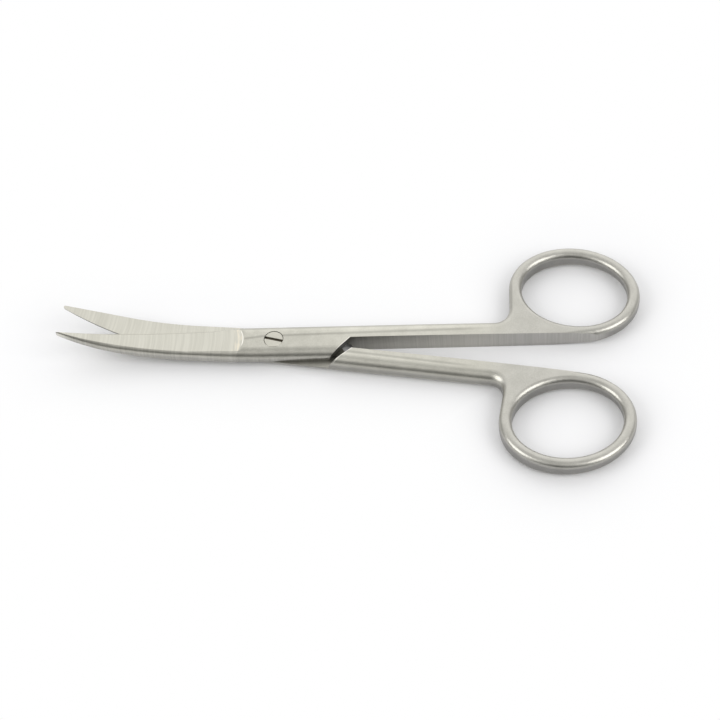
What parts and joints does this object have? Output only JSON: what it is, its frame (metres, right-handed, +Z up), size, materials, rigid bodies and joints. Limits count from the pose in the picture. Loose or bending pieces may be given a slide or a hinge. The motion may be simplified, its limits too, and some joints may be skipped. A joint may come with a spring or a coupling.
{
  "type": "dissecting scissors",
  "caption": "Small curved stainless steel scissors with oval finger rings, a stepped lap joint and a slotted pivot screw; the slim pointed blades curve upwards.",
  "frame": {"origin": "where the pivot axis meets the flat underside of the joint, on the table plane", "axes": "+Z up along the pivot axis, +X towards the finger rings, +Y towards the ring of the upper half"},
  "size_m": [0.1434, 0.0662, 0.0111],
  "materials": {
    "blade_steel": "satin ground stainless steel",
    "screw_steel": "satin ground stainless steel"
  },
  "bodies": {
    "lower": {"lower_half": "blade_steel", "pivot_screw": "screw_steel"},
    "upper": {"upper_half": "blade_steel"}
  },
  "joints": [
    {"name": "pivot", "type": "hinge", "parent": "lower", "child": "upper", "pos_m": [0, 0, 0], "axis": [0, 0, 1], "range_deg": [-8.66, 50]}
  ]
}
